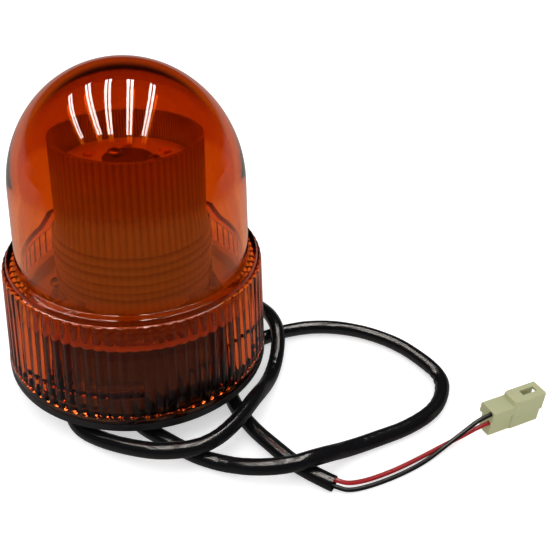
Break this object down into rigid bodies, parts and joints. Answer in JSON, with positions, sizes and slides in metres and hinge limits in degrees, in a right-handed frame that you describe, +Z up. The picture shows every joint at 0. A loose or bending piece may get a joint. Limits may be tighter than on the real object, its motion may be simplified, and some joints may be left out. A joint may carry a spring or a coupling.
{
  "type": "flashing beacon",
  "caption": "Compact flashing beacon: amber screw-on dome with fluted skirt, inner lens drum over an LED column, black base on studs, and a sleeved cable to a two-way connector.",
  "frame": {"origin": "on the floor under the middle of the base, at the ends of the mounting studs", "axes": "+Z up along the dome's axis; -Y faces the viewer of the picture; the cable runs towards +X"},
  "size_m": [0.2094, 0.1383, 0.1312],
  "materials": {
    "black_plastic": "satin moulded",
    "zinc_steel": "bright zinc plate",
    "amber_lens": "polished transparent amber",
    "black_rubber": "matt",
    "clear_lens": "polished transparent, prismatic",
    "green_board": "solder mask",
    "white_board": "white solder mask",
    "white_plastic": "satin white",
    "capacitor_can": "printed sleeve with bare top",
    "dark_ferrite": "matt ferrite",
    "chip_black": "matt",
    "brass": "bright",
    "aluminium": "satin",
    "yellow_emitter": "phosphor gel",
    "black_pvc": "glossy soft PVC",
    "natural_nylon": "satin natural nylon",
    "red_pvc": "glossy soft PVC",
    "black_wire_pvc": "glossy soft PVC"
  },
  "bodies": {
    "base": {"base_housing": "black_plastic", "mounting_studs": "zinc_steel", "inner_lens": "clear_lens", "lens_screws": "zinc_steel", "deck_reflector": "white_plastic", "driver_board": "green_board", "board_screws": "zinc_steel", "supply_capacitor": "capacitor_can", "driver_inductor": "dark_ferrite", "driver_chips": "chip_black", "column_spacers": "brass", "led_column": "aluminium", "led_strips": "white_board", "led_emitters": "yellow_emitter", "top_board": "white_board", "top_emitters": "yellow_emitter", "top_screws": "zinc_steel", "cable_grommet": "black_rubber", "sleeve_tail": "black_pvc", "cable_tie": "natural_nylon", "inner_lead_red": "red_pvc", "inner_lead_black": "black_wire_pvc", "connector_housing": "natural_nylon", "connector_terminals": "brass", "cable_sleeve": "black_pvc", "red_wire": "red_pvc", "black_wire": "black_wire_pvc"},
    "seal": {"dome_seal": "black_rubber"},
    "dome": {"dome_lens": "amber_lens"}
  },
  "joints": [
    {"name": "dome_lift", "type": "slide", "parent": "base", "child": "seal", "axis": [0, 0, 1], "range_m": [0, 0.0076]},
    {"name": "dome_turn", "type": "hinge", "parent": "seal", "child": "dome", "pos_m": [0, 0, 0.02], "axis": [0, 0, 1], "range_deg": [0, 150]}
  ],
  "couplings": [
    {"joint": "dome_lift", "follows": "dome_turn", "m_per_rad": 0.0028648}
  ]
}
